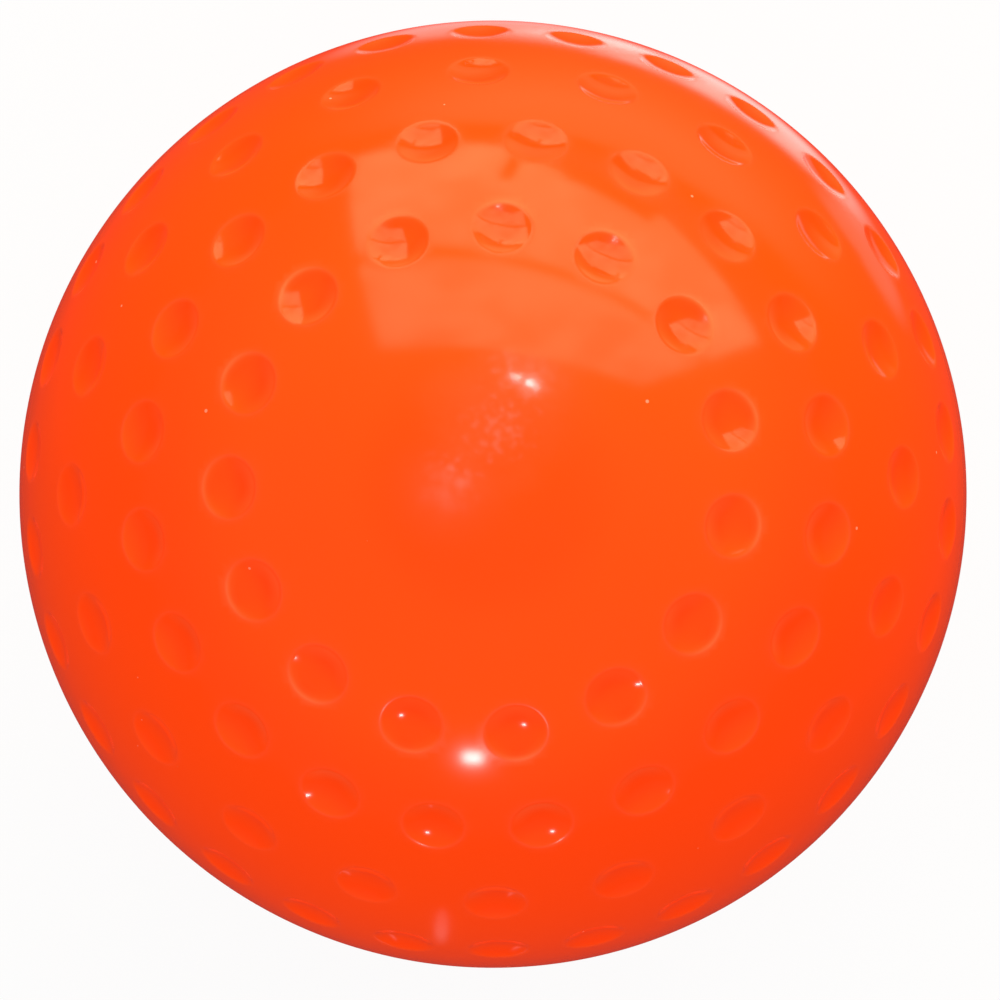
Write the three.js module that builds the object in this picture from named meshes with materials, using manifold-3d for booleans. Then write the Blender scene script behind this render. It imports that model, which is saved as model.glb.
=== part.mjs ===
// A field hockey ball: a dimpled cover, moulded as two half shells that are fused at the equator,
// over a core of two pressed cork cups that close round a rubber centre.
// Millimetres and degrees, +Z up. The origin is the centre of the ball, +Z is the axis of the mould,
// and the mould parts at z = 0. Azimuths are measured from +Y towards +X.
import * as THREE from 'three';
import { ConvexGeometry } from 'three/addons/geometries/ConvexGeometry.js';
import { mergeVertices } from 'three/addons/utils/BufferGeometryUtils.js';
import Module from 'manifold-3d';

// Ball and cover
const BALL_DIAMETER = 73.2;
const COVER_WALL = 6.5;
const CENTRE_DIAMETER = 26;
const FIT_CLEARANCE = 0.3;

// Dimples, in rings round each pole. The cap inside the first ring stays smooth.
const DIMPLE_DIAMETER = 4.6;
const DIMPLE_DEPTH = 0.53;
const FIRST_RING_ANGLE = 31.0;
const RING_PITCH_ANGLE = 14.1;
const RING_COUNTS = [15, 20, 20, 30];
const RING_TURNS = [5.6, 9.7, 0, 0];

// Fused joint between the half shells: a tongue in a groove, and a fine witness line outside
const TONGUE_WIDTH = 2.2;
const TONGUE_HEIGHT = 2.0;
const TONGUE_DRAFT = 0.25;
const SEAM_DEPTH = 0.15;
const SEAM_WIDTH = 0.9;

// Facets
const EQUATOR_SEGMENTS = 80;
const WALL_SEGMENTS = 40;
const RIM_POINTS = 10;
const BOWL_POINTS = 6;
const BOWL_FRACTION = 0.55;
const LAND_PITCH = 4.4;
const MERGE_DISTANCE = 1e-4;

const COVER_COLOUR = 0xff500e;
const CORK_COLOUR = 0xb98757;
const RUBBER_COLOUR = 0x2e2a28;

const BALL_RADIUS = BALL_DIAMETER / 2;
const POCKET_RADIUS = BALL_RADIUS - COVER_WALL;
const CORE_RADIUS = POCKET_RADIUS - FIT_CLEARANCE;
const CENTRE_RADIUS = CENTRE_DIAMETER / 2;
const DIMPLE_RADIUS = DIMPLE_DIAMETER / 2;
const BLANK_REACH = BALL_RADIUS + COVER_WALL;

const wasm = await Module();
wasm.setup();

// Unit vector at a polar angle from +Z and an azimuth from +Y.
function directionAt(polarDegrees, azimuthDegrees) {
  const polar = THREE.MathUtils.degToRad(polarDegrees);
  const azimuth = THREE.MathUtils.degToRad(azimuthDegrees);
  return new THREE.Vector3(
    Math.sin(polar) * Math.sin(azimuth),
    Math.sin(polar) * Math.cos(azimuth),
    Math.cos(polar),
  );
}

// Distance along the surface of the ball between two directions.
function arcBetween(first, second) {
  return BALL_RADIUS * first.angleTo(second);
}

function degreesOfArc(arc) {
  return THREE.MathUtils.radToDeg(arc / BALL_RADIUS);
}

// A ring of directions round a centre direction, at a distance along the surface.
function ringRound(centre, arc, count, turnDegrees) {
  const toCentre = new THREE.Quaternion().setFromUnitVectors(new THREE.Vector3(0, 0, 1), centre);
  const ring = [];
  for (let step = 0; step < count; step += 1) {
    const azimuth = turnDegrees + (360 * step) / count;
    ring.push(directionAt(degreesOfArc(arc), azimuth).applyQuaternion(toCentre));
  }
  return ring;
}

// Dimple centres of the upper half. A ring that would reach the seam is left out.
function dimpleCentres() {
  const lastAngle = 90 - degreesOfArc(DIMPLE_RADIUS + SEAM_WIDTH);
  const centres = [];
  RING_COUNTS.forEach((count, ring) => {
    const polar = FIRST_RING_ANGLE + ring * RING_PITCH_ANGLE;
    if (polar > lastAngle) {
      return;
    }
    for (let step = 0; step < count; step += 1) {
      centres.push(directionAt(polar, RING_TURNS[ring] + (360 * step) / count));
    }
  });
  return centres;
}

// Points on the smooth land between the dimples, ring by ring from the pole to the seam.
function landDirections(centres) {
  const pole = new THREE.Vector3(0, 0, 1);
  const quarter = (BALL_RADIUS * Math.PI) / 2 - SEAM_WIDTH / 2;
  const rings = Math.max(2, Math.round(quarter / LAND_PITCH));
  const land = [pole];
  for (let ring = 1; ring < rings; ring += 1) {
    const arc = (quarter * ring) / rings;
    const length = 2 * Math.PI * BALL_RADIUS * Math.sin(arc / BALL_RADIUS);
    const count = Math.max(6, Math.round(length / LAND_PITCH));
    land.push(...ringRound(pole, arc, count, (180 * (ring % 2)) / count));
  }
  const clear = DIMPLE_RADIUS + LAND_PITCH / 4;
  return land.filter((point) => centres.every((centre) => arcBetween(point, centre) > clear));
}

// The lower half of the pattern is the upper half turned over about X.
function withTurnedCopies(directions) {
  const turned = directions.map((point) => new THREE.Vector3(point.x, -point.y, -point.z));
  return [...directions, ...turned];
}

// Radius of the moulded skin in a direction: the sphere, less a bowl or the seam's groove.
function skinRadius(direction, centres) {
  const height = Math.abs(direction.z) * BALL_RADIUS;
  const seamShare = Math.max(0, 1 - height / (SEAM_WIDTH / 2));
  let depth = SEAM_DEPTH * seamShare;
  for (const centre of centres) {
    const share = arcBetween(direction, centre) / DIMPLE_RADIUS;
    depth = Math.max(depth, DIMPLE_DEPTH * (1 - share * share));
  }
  return BALL_RADIUS - depth;
}

// The whole outside of the ball as one solid. The directions of the pattern are joined into facets
// on a sphere, and each corner then moves to the radius of the skin.
function ballSkin() {
  const upper = dimpleCentres();
  const seamEdge = (BALL_RADIUS * Math.PI) / 2 - SEAM_WIDTH / 2;
  const pole = new THREE.Vector3(0, 0, 1);
  const points = [...landDirections(upper), ...ringRound(pole, seamEdge, EQUATOR_SEGMENTS, 0)];
  for (const centre of upper) {
    points.push(centre);
    points.push(...ringRound(centre, DIMPLE_RADIUS * BOWL_FRACTION, BOWL_POINTS, 0));
    points.push(...ringRound(centre, DIMPLE_RADIUS, RIM_POINTS, 180 / RIM_POINTS));
  }
  const equator = [];
  for (let step = 0; step < EQUATOR_SEGMENTS; step += 1) {
    const azimuth = (2 * Math.PI * step) / EQUATOR_SEGMENTS;
    equator.push(new THREE.Vector3(Math.sin(azimuth), Math.cos(azimuth), 0));
  }
  const skin = new ConvexGeometry([...withTurnedCopies(points), ...equator]);
  const centres = withTurnedCopies(upper);
  const corners = skin.attributes.position;
  const corner = new THREE.Vector3();
  for (let index = 0; index < corners.count; index += 1) {
    corner.fromBufferAttribute(corners, index).normalize();
    corner.multiplyScalar(skinRadius(corner, centres));
    corners.setXYZ(index, corner.x, corner.y, corner.z);
  }
  return solidFrom(skin);
}

function solidFrom(geometry) {
  const bare = geometry.clone();
  bare.deleteAttribute('normal');
  bare.deleteAttribute('uv');
  const merged = mergeVertices(bare, MERGE_DISTANCE);
  const mesh = new wasm.Mesh({
    numProp: 3,
    vertProperties: merged.attributes.position.array,
    triVerts: new Uint32Array(merged.index.array),
  });
  return new wasm.Manifold(mesh);
}

function geometryFrom(solid) {
  const mesh = solid.getMesh();
  const geometry = new THREE.BufferGeometry();
  geometry.setAttribute('position', new THREE.BufferAttribute(mesh.vertProperties, 3));
  geometry.setIndex(new THREE.BufferAttribute(mesh.triVerts, 1));
  geometry.computeVertexNormals();
  return geometry;
}

// Revolves a profile of radius and height about +Z.
function revolve(profile) {
  return new THREE.LatheGeometry(profile, WALL_SEGMENTS).rotateX(Math.PI / 2);
}

// Quarter arc of a profile, from the axis down to a height above the middle plane.
function quarterArc(radius, endHeight) {
  const steps = WALL_SEGMENTS / 4;
  const endAngle = Math.acos(endHeight / radius);
  const arc = [];
  for (let step = 0; step <= steps; step += 1) {
    const polar = (endAngle * step) / steps;
    const onAxis = step === 0;
    arc.push(new THREE.Vector2(onAxis ? 0 : radius * Math.sin(polar), radius * Math.cos(polar)));
  }
  return arc;
}

// Profile of the tongue below the parting plane, grown by a clearance to give its groove.
function tongueProfile(clearance) {
  const middle = (POCKET_RADIUS + BALL_RADIUS) / 2;
  const halfRoot = TONGUE_WIDTH / 2 + clearance;
  const halfTip = halfRoot - TONGUE_DRAFT;
  const depth = TONGUE_HEIGHT + clearance;
  return [
    new THREE.Vector2(middle - halfRoot, 0),
    new THREE.Vector2(middle - halfTip, -depth),
    new THREE.Vector2(middle + halfTip, -depth),
    new THREE.Vector2(middle + halfRoot, 0),
  ];
}

// Blank of the upper half shell: open to the core below, with the tongue round its parting face.
function upperBlank() {
  const profile = [
    ...quarterArc(POCKET_RADIUS, 0),
    ...tongueProfile(0),
    new THREE.Vector2(BLANK_REACH, 0),
    new THREE.Vector2(BLANK_REACH, BLANK_REACH),
    new THREE.Vector2(0, BLANK_REACH),
  ];
  return solidFrom(revolve(profile));
}

// Blank of the lower half shell, with the groove that takes the tongue.
function lowerBlank() {
  const pocket = quarterArc(POCKET_RADIUS, 0).map((point) => new THREE.Vector2(point.x, -point.y));
  const profile = [
    ...pocket,
    ...tongueProfile(FIT_CLEARANCE),
    new THREE.Vector2(BLANK_REACH, 0),
    new THREE.Vector2(BLANK_REACH, -BLANK_REACH),
    new THREE.Vector2(0, -BLANK_REACH),
  ];
  return solidFrom(revolve(profile.reverse()));
}

// One cork cup: half of the core, hollowed to seat half of the rubber centre.
function corkCup() {
  const bondFace = FIT_CLEARANCE / 2;
  const seat = quarterArc(CENTRE_RADIUS + FIT_CLEARANCE, bondFace);
  const outside = quarterArc(CORE_RADIUS, bondFace).reverse();
  return geometryFrom(solidFrom(revolve([...seat, ...outside])));
}

function rubberCentre() {
  return new THREE.SphereGeometry(CENTRE_RADIUS, WALL_SEGMENTS, WALL_SEGMENTS / 2).rotateX(Math.PI / 2);
}

function coverMaterial() {
  return new THREE.MeshStandardMaterial({ color: COVER_COLOUR, roughness: 0.15, metalness: 0 });
}

function corkMaterial() {
  return new THREE.MeshStandardMaterial({ color: CORK_COLOUR, roughness: 0.9, metalness: 0 });
}

function rubberMaterial() {
  return new THREE.MeshStandardMaterial({ color: RUBBER_COLOUR, roughness: 0.7, metalness: 0 });
}

function piece(name, geometry, material) {
  const mesh = new THREE.Mesh(geometry, material);
  mesh.name = name;
  return mesh;
}

function buildCover() {
  const skin = ballSkin();
  const upper = geometryFrom(skin.intersect(upperBlank()));
  const lower = geometryFrom(skin.intersect(lowerBlank()));
  const cover = new THREE.Group();
  cover.add(piece('cover_upper_half', upper, coverMaterial()));
  cover.add(piece('cover_lower_half', lower, coverMaterial()));
  return cover;
}

// The bond line of the cups stands across the seam of the cover, so that the two never lie together.
function buildCore() {
  const core = new THREE.Group();
  const rear = piece('core_rear_cup', corkCup(), corkMaterial());
  const front = piece('core_front_cup', corkCup(), corkMaterial());
  front.rotation.x = Math.PI;
  core.add(rear, front, piece('core_centre', rubberCentre(), rubberMaterial()));
  core.rotation.x = -Math.PI / 2;
  return core;
}

const ball = new THREE.Group();
ball.name = 'field_hockey_ball';
ball.add(buildCover(), buildCore());

export default ball;
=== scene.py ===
"""Dresses a field hockey ball: a glossy dimpled cover in two fused half shells over a cork core.

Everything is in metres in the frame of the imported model: the origin is the centre of the ball, +Z is
the axis of the mould, and the mould parts at z = 0. Azimuths are measured from +Y towards +X.
"""

import logging
import math
from dataclasses import dataclass, field
from enum import Enum

import bmesh
import bpy
from mathutils import Matrix, Vector
from mathutils.kdtree import KDTree

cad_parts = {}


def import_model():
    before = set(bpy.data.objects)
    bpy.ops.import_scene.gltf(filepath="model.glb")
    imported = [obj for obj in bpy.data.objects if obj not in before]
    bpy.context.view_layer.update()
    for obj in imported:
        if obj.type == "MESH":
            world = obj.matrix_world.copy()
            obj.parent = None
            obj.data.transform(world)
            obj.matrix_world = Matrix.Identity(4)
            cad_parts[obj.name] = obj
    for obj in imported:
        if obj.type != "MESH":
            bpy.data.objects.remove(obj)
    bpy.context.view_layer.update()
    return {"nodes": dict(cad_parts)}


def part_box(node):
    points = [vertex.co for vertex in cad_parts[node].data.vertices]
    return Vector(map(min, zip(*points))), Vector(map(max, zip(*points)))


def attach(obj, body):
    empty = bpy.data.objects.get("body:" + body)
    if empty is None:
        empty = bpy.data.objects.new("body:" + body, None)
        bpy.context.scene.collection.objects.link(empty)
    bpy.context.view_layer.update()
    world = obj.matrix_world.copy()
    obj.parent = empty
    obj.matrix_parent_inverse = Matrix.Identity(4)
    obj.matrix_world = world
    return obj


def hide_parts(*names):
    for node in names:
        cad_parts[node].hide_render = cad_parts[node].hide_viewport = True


MM = 0.001
IMAGE_SIDE = 1000
LEVEL_ANGLE = 90.0
FULL_TURN = 360.0
DISC_SEGMENTS = 96
GROUND_LIFT = 0.2 * MM
PATCH_LIFT = 0.4 * MM
WAVY_DETAIL = 1.0
SOFT_DETAIL = 2.0
CLOUDY_DETAIL = 3.0
FINE_DETAIL = 6.0
MOTTLE_LEVELS = (0.3, 0.7)
ORDER_SHARES = (0.5377, 0.7291, 0.4235)

Colour = tuple[float, float, float, float]
Place = tuple[float, float, float]

WHITE: Colour = (1.0, 1.0, 1.0, 1.0)
UPWARDS: Place = (0.0, 0.0, 1.0)

log = logging.getLogger("hockey_ball")


class Half(Enum):
    """The half shells of the cover, by their side of the seam."""

    UPPER = "upper"
    LOWER = "lower"


class SeenBy(Enum):
    """The kinds of ray that see a piece of studio equipment."""

    EVERYTHING = ("camera", "diffuse", "glossy", "transmission", "shadow")
    LIGHT_PATHS = ("diffuse", "glossy", "transmission")
    DIFFUSE_ONLY = ("diffuse",)
    GLOSS_ONLY = ("glossy",)


def direction_at(polar: float, azimuth: float) -> Vector:
    """Gives a unit vector by its angles in degrees.

    Args:
        polar: Angle from +Z.
        azimuth: Angle from +Y towards +X.

    Returns:
        The unit vector.
    """
    tilt = math.radians(polar)
    turn = math.radians(azimuth)
    return Vector((math.sin(tilt) * math.sin(turn), math.sin(tilt) * math.cos(turn), math.cos(tilt)))


def order_of(point: Vector) -> float:
    """Gives a point a number to sort by, along a slanting direction in which no two are level.

    Args:
        point: A point or the centre of a face.

    Returns:
        The number.
    """
    return sum(share * part for share, part in zip(ORDER_SHARES, point))


def object_from(name: str, bm: bmesh.types.BMesh) -> bpy.types.Object:
    """Turns a bmesh into an object at the origin, and frees the bmesh.

    Args:
        name: Name of the object and its mesh.
        bm: The shape, with its place in its vertices.

    Returns:
        The new object, linked to the scene.
    """
    mesh = bpy.data.meshes.new(name)
    bm.to_mesh(mesh)
    bm.free()
    piece = bpy.data.objects.new(name, mesh)
    bpy.context.scene.collection.objects.link(piece)
    return piece


class NodeBench:
    """A short way to add, set and link the nodes of one tree."""

    def __init__(self, tree: bpy.types.NodeTree) -> None:
        """Starts on an empty tree.

        Args:
            tree: The tree to fill. Its old nodes are removed.
        """
        self.tree = tree
        tree.nodes.clear()

    def add(self, kind: str, inputs: dict | None = None, **settings: object) -> bpy.types.Node:
        """Adds a node.

        Args:
            kind: The node's type name.
            inputs: Values or output sockets, by input name or index.
            settings: Properties of the node itself.

        Returns:
            The new node.
        """
        node = self.tree.nodes.new(kind)
        for key, value in settings.items():
            setattr(node, key, value)
        for key, value in (inputs or {}).items():
            if isinstance(value, bpy.types.NodeSocket):
                self.tree.links.new(value, node.inputs[key])
            else:
                node.inputs[key].default_value = value
        return node

    def math(self, operation: str, first: object, second: object) -> object:
        """Adds a Math node.

        Args:
            operation: Its operation.
            first: First value or socket.
            second: Second value or socket.

        Returns:
            The output socket.
        """
        return self.add("ShaderNodeMath", {0: first, 1: second}, operation=operation).outputs[0]

    def blend(self, share: object, first: object, second: object) -> object:
        """Mixes two colours.

        Args:
            share: Share of the second colour.
            first: First colour or socket.
            second: Second colour or socket.

        Returns:
            The colour socket.
        """
        node = self.add("ShaderNodeMix", {0: share, 6: first, 7: second}, data_type="RGBA")
        return node.outputs[2]

    def step(self, value: object, low: float, high: float) -> object:
        """Maps a value smoothly to 0 at low and 1 at high.

        Args:
            value: The socket to map.
            low: Where the result is 0.
            high: Where the result is 1.

        Returns:
            The output socket.
        """
        node = self.add(
            "ShaderNodeMapRange",
            {"Value": value, "From Min": low, "From Max": high},
            interpolation_type="SMOOTHSTEP",
        )
        return node.outputs["Result"]

    def place(self) -> object:
        """Gives the socket of the object's own coordinates."""
        return self.add("ShaderNodeTexCoord").outputs["Object"]

    def attribute(self, name: str) -> object:
        """Gives the socket of a number that the mesh carries."""
        return self.add("ShaderNodeAttribute", attribute_name=name).outputs["Fac"]

    def noise(self, place: object, scale: object, detail: object) -> object:
        """Adds cloudy noise.

        Args:
            place: The coordinates that it follows.
            scale: How fine it is.
            detail: How many finer layers it carries.

        Returns:
            The socket of its value.
        """
        node = self.add("ShaderNodeTexNoise", {"Vector": place, "Scale": scale, "Detail": detail})
        return node.outputs["Fac"]

    def mask(self, group: bpy.types.NodeTree, inputs: dict) -> object:
        """Places a shared group.

        Args:
            group: The shared group.
            inputs: Its values.

        Returns:
            The socket of its mask.
        """
        return self.add("ShaderNodeGroup", inputs, node_tree=group).outputs["Mask"]

    def relief(self, height: object, strength: float, distance: float) -> object:
        """Gives the skin a fine relief.

        Args:
            height: The socket of the relief's pattern.
            strength: The share of the relief that shows.
            distance: The height of the relief.

        Returns:
            The normal's socket.
        """
        node = self.add("ShaderNodeBump", {"Height": height, "Strength": strength, "Distance": distance})
        return node.outputs["Normal"]

    def glow(self, colour: object, strength: object) -> object:
        """Adds a glow.

        Args:
            colour: Its colour or socket.
            strength: Its strength or socket, where 1 is white.

        Returns:
            The shader's socket.
        """
        node = self.add("ShaderNodeEmission", {"Color": colour, "Strength": strength})
        return node.outputs["Emission"]

    def surface(self, shader: object) -> None:
        """Ends a material with a shader's socket."""
        self.add("ShaderNodeOutputMaterial", {"Surface": shader})


def new_material(name: str) -> tuple[bpy.types.Material, NodeBench]:
    """Makes an empty node material.

    Args:
        name: Name of the material.

    Returns:
        The material and a bench on its tree.
    """
    material = bpy.data.materials.new(name)
    material.use_nodes = True
    return material, NodeBench(material.node_tree)


class GroupShelf:
    """The shader groups that several finishes share, each built once."""

    def __init__(self) -> None:
        """Builds the groups."""
        self.mottle = self._mottle()
        self.specks = self._specks()

    @staticmethod
    def _start(name: str, sizes: dict[str, float]) -> tuple[object, NodeBench, object]:
        """Starts a group that turns a place into one mask.

        Args:
            name: Name of the group.
            sizes: Named number inputs with their defaults.

        Returns:
            The group, a bench on it and its input node.
        """
        group = bpy.data.node_groups.new(name, "ShaderNodeTree")
        group.interface.new_socket("Place", in_out="INPUT", socket_type="NodeSocketVector")
        for label, default in sizes.items():
            socket = group.interface.new_socket(label, in_out="INPUT", socket_type="NodeSocketFloat")
            socket.default_value = default
        group.interface.new_socket("Mask", in_out="OUTPUT", socket_type="NodeSocketFloat")
        bench = NodeBench(group)
        return group, bench, bench.add("NodeGroupInput")

    def _mottle(self) -> bpy.types.NodeTree:
        """Builds the group for soft cloudy unevenness, as a mask from 0 to 1.

        Returns:
            The group.
        """
        group, bench, given = self._start("soft_mottle", {"Scale": 30.0, "Detail": CLOUDY_DETAIL})
        noise = bench.noise(*(given.outputs[label] for label in ("Place", "Scale", "Detail")))
        mask = bench.step(noise, *MOTTLE_LEVELS)
        bench.add("NodeGroupOutput", {"Mask": mask})
        return group

    def _specks(self) -> bpy.types.NodeTree:
        """Builds the group for scattered round specks, as a mask from 0 to 1.

        Returns:
            The group.
        """
        sizes = {"Scale": 600.0, "Share": 0.02, "Radius": 0.25}
        group, bench, given = self._start("scattered_specks", sizes)
        cells = bench.add(
            "ShaderNodeTexVoronoi",
            {"Vector": given.outputs["Place"], "Scale": given.outputs["Scale"]},
        )
        shade = bench.add("ShaderNodeSeparateColor", {"Color": cells.outputs["Color"]})
        chosen = bench.math("LESS_THAN", shade.outputs["Red"], given.outputs["Share"])
        size = bench.math("MULTIPLY", shade.outputs["Green"], given.outputs["Radius"])
        inside = bench.math("LESS_THAN", cells.outputs["Distance"], size)
        bench.add("NodeGroupOutput", {"Mask": bench.math("MULTIPLY", chosen, inside)})
        return group


@dataclass(frozen=True)
class CoverPlastic:
    """Glossy fluorescent moulded plastic with the faint unevenness and dust of a handled ball, with
    painted shade in the dimples, painted highlights on their rims and a painted red glow.
    """

    orange: Colour = (1.0, 0.07, 0.0012, 1.0)
    deep_orange: Colour = (1.0, 0.064, 0.001, 1.0)
    cloud_scale: float = 26.0
    wear_scale: float = 110.0
    # Painted shade: the bowl colour darkens the dimples and their far walls.
    bowl: Colour = (1.0, 0.044, 0.0007, 1.0)
    bowl_shade: float = 0.25
    shade_power: float = 1.5
    # Painted highlight: a pale colour on the dimples' rims that stands in for their gloss.
    painted_rim_highlight: Colour = (1.0, 0.26, 0.09, 1.0)
    rim_highlight_share: float = 0.5
    rim_highlight_least: float = 0.3
    rim_highlight_spread: float = 0.6
    # A pale haze on the cap: rubbed wear, and partly a painted sheen of the light overhead.
    cap_wear_and_sheen: Colour = (1.0, 0.16, 0.07, 1.0)
    cap_wear_and_sheen_share: float = 0.15
    dust: Colour = (1.0, 0.42, 0.26, 1.0)
    dust_share: float = 0.55
    dust_scale: float = 330.0
    dusty_cells: float = 0.3
    dust_radius: float = 0.055
    # Painted glow: the red emission lifts the colour in shade, though the cover is no lamp.
    glow: Colour = (1.0, 0.02, 0.0, 1.0)
    glow_strength: float = 0.31
    roughness: float = 0.11
    wear_roughness: float = 0.02
    dust_roughness: float = 0.5
    crest_wear: float = 0.15
    cap_polish: float = 0.06
    cap_centre: Place = (1.0 * MM, 4.0 * MM, 36.0 * MM)
    cap_edges: tuple[float, float] = (7.5 * MM, 3.5 * MM)
    wave_scale: float = 95.0
    wave_height: float = 0.02 * MM
    wave_strength: float = 1.0
    refraction: float = 1.5

    def material(self, shelf: GroupShelf) -> bpy.types.Material:
        """Builds the material.

        Args:
            shelf: The shared shader groups.

        Returns:
            The material of the cover.
        """
        material, bench = new_material("cover_plastic")
        place = bench.place()
        soft = {"Place": place, "Scale": self.cloud_scale, "Detail": SOFT_DETAIL}
        fine = {"Place": place, "Scale": self.wear_scale, "Detail": FINE_DETAIL}
        clouds = bench.mask(shelf.mottle, soft)
        wear = bench.mask(shelf.mottle, fine)
        specks = {"Scale": self.dust_scale, "Share": self.dusty_cells, "Radius": self.dust_radius}
        dust = bench.mask(shelf.specks, {"Place": place, **specks})
        cap = self._cap_mask(bench, place)
        waves = bench.noise(place, self.wave_scale, WAVY_DETAIL)
        shader = bench.add(
            "ShaderNodeBsdfPrincipled",
            {
                "Base Color": self._colour(bench, clouds, wear, dust, cap),
                "Roughness": self._roughness(bench, wear, dust, cap),
                "IOR": self.refraction,
                "Emission Color": self.glow,
                "Emission Strength": self.glow_strength,
                "Normal": bench.relief(waves, self.wave_strength, self.wave_height),
            },
        )
        bench.surface(shader.outputs["BSDF"])
        return material

    def _colour(
        self, bench: NodeBench, clouds: object, wear: object, dust: object, cap: object
    ) -> object:
        """Mixes the colour: painted shade in the bowls, painted highlights on their lips, rubbed wear
        with a painted sheen on the cap, and dust.

        Args:
            bench: The material's bench.
            clouds: Mask of the soft unevenness.
            wear: Mask of the fine unevenness.
            dust: Mask of the dust.
            cap: Mask of the smooth cap.

        Returns:
            The colour's socket.
        """
        # Painted shade in the dimples, from the share of shade that the mesh carries.
        painted_shading = bench.math("POWER", bench.attribute("painted_shade"), self.shade_power)
        uneven = bench.math("ADD", bench.math("MULTIPLY", wear, self.rim_highlight_spread), self.rim_highlight_least)
        layers = (
            (painted_shading, self.bowl_shade, self.bowl),
            (bench.math("MULTIPLY", bench.attribute("painted_rim_highlight"), uneven), self.rim_highlight_share, self.painted_rim_highlight),
            (bench.math("MULTIPLY", cap, wear), self.cap_wear_and_sheen_share, self.cap_wear_and_sheen),
            (dust, self.dust_share, self.dust),
        )
        colour = bench.blend(clouds, self.orange, self.deep_orange)
        for mask, share, tint in layers:
            colour = bench.blend(bench.math("MULTIPLY", mask, share), colour, tint)
        return colour

    def _roughness(self, bench: NodeBench, wear: object, dust: object, cap: object) -> object:
        """Adds up the roughness: least on the rubbed cap, and more on worn crests and dust.

        Args:
            bench: The material's bench.
            wear: Mask of the fine unevenness.
            dust: Mask of the dust.
            cap: Mask of the smooth cap.

        Returns:
            The socket of the roughness.
        """
        changes = (
            (wear, self.wear_roughness),
            (cap, -self.cap_polish),
            (bench.attribute("crest"), self.crest_wear),
            (dust, self.dust_roughness),
        )
        roughness: object = self.roughness
        for mask, amount in changes:
            roughness = bench.math("ADD", roughness, bench.math("MULTIPLY", mask, amount))
        return roughness

    def _cap_mask(self, bench: NodeBench, place: object) -> object:
        """Masks the middle of the smooth upper cap, which hands and packing rub most.

        Args:
            bench: The material's bench.
            place: The object's coordinates.

        Returns:
            The mask's socket, 1 in the middle of the cap.
        """
        away = bench.add("ShaderNodeVectorMath", {0: place, 1: self.cap_centre}, operation="DISTANCE")
        return bench.step(away.outputs["Value"], *self.cap_edges)


@dataclass(frozen=True)
class PressedCork:
    """Cork granules pressed with a binder, with dark bark grains between the pale ones."""

    pale: Colour = (0.52, 0.3, 0.13, 1.0)
    brown: Colour = (0.3, 0.15, 0.06, 1.0)
    bark: Colour = (0.06, 0.028, 0.014, 1.0)
    bark_share: float = 0.12
    bark_radius: float = 0.9
    grain_scale: float = 420.0
    grain_height: float = 0.2 * MM
    grain_strength: float = 0.7
    roughness: float = 0.92

    def material(self, shelf: GroupShelf) -> bpy.types.Material:
        """Builds the material.

        Args:
            shelf: The shared shader groups.

        Returns:
            The material of the cork cups.
        """
        material, bench = new_material("pressed_cork")
        place = bench.place()
        grains = bench.add("ShaderNodeTexVoronoi", {"Vector": place, "Scale": self.grain_scale})
        shade = bench.add("ShaderNodeSeparateColor", {"Color": grains.outputs["Color"]})
        specks = {"Scale": self.grain_scale, "Share": self.bark_share, "Radius": self.bark_radius}
        bark = bench.mask(shelf.specks, {"Place": place, **specks})
        colour = bench.blend(shade.outputs["Blue"], self.pale, self.brown)
        colour = bench.blend(bark, colour, self.bark)
        relief = bench.relief(grains.outputs["Distance"], self.grain_strength, self.grain_height)
        shader = bench.add(
            "ShaderNodeBsdfPrincipled",
            {"Base Color": colour, "Roughness": self.roughness, "Normal": relief},
        )
        bench.surface(shader.outputs["BSDF"])
        return material


@dataclass(frozen=True)
class CentreRubber:
    """Dark moulded rubber with a dull, slightly powdery skin."""

    dark: Colour = (0.022, 0.019, 0.017, 1.0)
    powdery: Colour = (0.05, 0.046, 0.042, 1.0)
    powder_scale: float = 220.0
    powder_height: float = 0.05 * MM
    powder_strength: float = 0.4
    roughness: float = 0.68

    def material(self, shelf: GroupShelf) -> bpy.types.Material:
        """Builds the material.

        Args:
            shelf: The shared shader groups.

        Returns:
            The material of the rubber centre.
        """
        material, bench = new_material("centre_rubber")
        inputs = {"Place": bench.place(), "Scale": self.powder_scale, "Detail": FINE_DETAIL}
        powder = bench.mask(shelf.mottle, inputs)
        relief = bench.relief(powder, self.powder_strength, self.powder_height)
        colour = bench.blend(powder, self.dark, self.powdery)
        shader = bench.add(
            "ShaderNodeBsdfPrincipled",
            {"Base Color": colour, "Roughness": self.roughness, "Normal": relief},
        )
        bench.surface(shader.outputs["BSDF"])
        return material


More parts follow.
